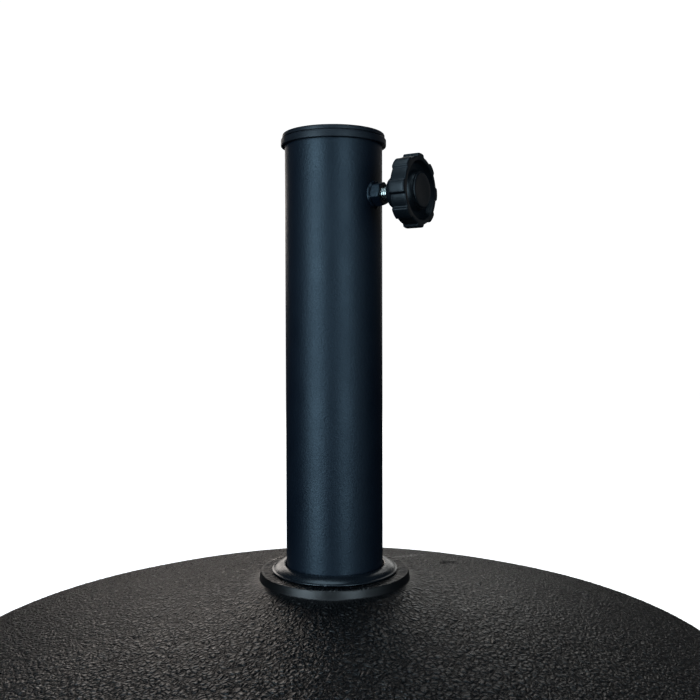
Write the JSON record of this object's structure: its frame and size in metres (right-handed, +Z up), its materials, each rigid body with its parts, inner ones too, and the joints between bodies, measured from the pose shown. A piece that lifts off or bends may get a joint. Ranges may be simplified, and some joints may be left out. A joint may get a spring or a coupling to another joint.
{
  "type": "parasol base",
  "caption": "Round concrete-filled parasol foot with a grained plastic shell, a steel pole socket, a trim collar, a pole reducer and a lobed clamp knob.",
  "frame": {"origin": "centre of the footprint, on the plane that the rubber feet stand on", "axes": "+Z up, along the pole socket; the clamp screw points 33.2 degrees from +X towards -Y"},
  "size_m": [0.5, 0.5, 0.3552],
  "materials": {
    "grained_shell": "satin",
    "concrete": "matte",
    "rubber": "matte",
    "zinc_steel": "satin",
    "bare_steel": "satin",
    "powder_coat": "satin",
    "collar_plastic": "satin",
    "ring_plastic": "satin",
    "knob_plastic": "satin",
    "pad_nylon": "satin"
  },
  "bodies": {
    "base": {"base_shell": "grained_shell", "concrete_core": "concrete", "rubber_feet": "rubber", "anchor_bolt": "zinc_steel", "anchor_washer": "zinc_steel", "lock_washer": "zinc_steel", "foot_plate": "bare_steel", "foot_nut": "bare_steel", "foot_weld": "bare_steel", "pole_tube": "powder_coat", "trim_collar": "collar_plastic", "tube_end_ring": "ring_plastic", "clamp_nut": "powder_coat", "clamp_nut_weld": "powder_coat"},
    "reducer": {"pole_reducer": "ring_plastic"},
    "pad": {"pressure_pad": "pad_nylon"},
    "knob": {"clamp_stud": "zinc_steel", "knob_body": "knob_plastic", "knob_cap": "knob_plastic"}
  },
  "joints": [
    {"name": "reducer_lift", "type": "slide", "parent": "base", "child": "reducer", "axis": [0, 0, 1], "range_m": [0, 0.03]},
    {"name": "screw_travel", "type": "slide", "parent": "base", "child": "pad", "axis": [0.8368, -0.5476, 0], "range_m": [-0.005, 0.005]},
    {"name": "knob_turn", "type": "hinge", "parent": "pad", "child": "knob", "pos_m": [0, 0, 0.3164], "axis": [0.8368, -0.5476, 0], "range_deg": [-1440, 1440]}
  ],
  "couplings": [
    {"joint": "screw_travel", "follows": "knob_turn", "m_per_rad": 0.00019894}
  ]
}
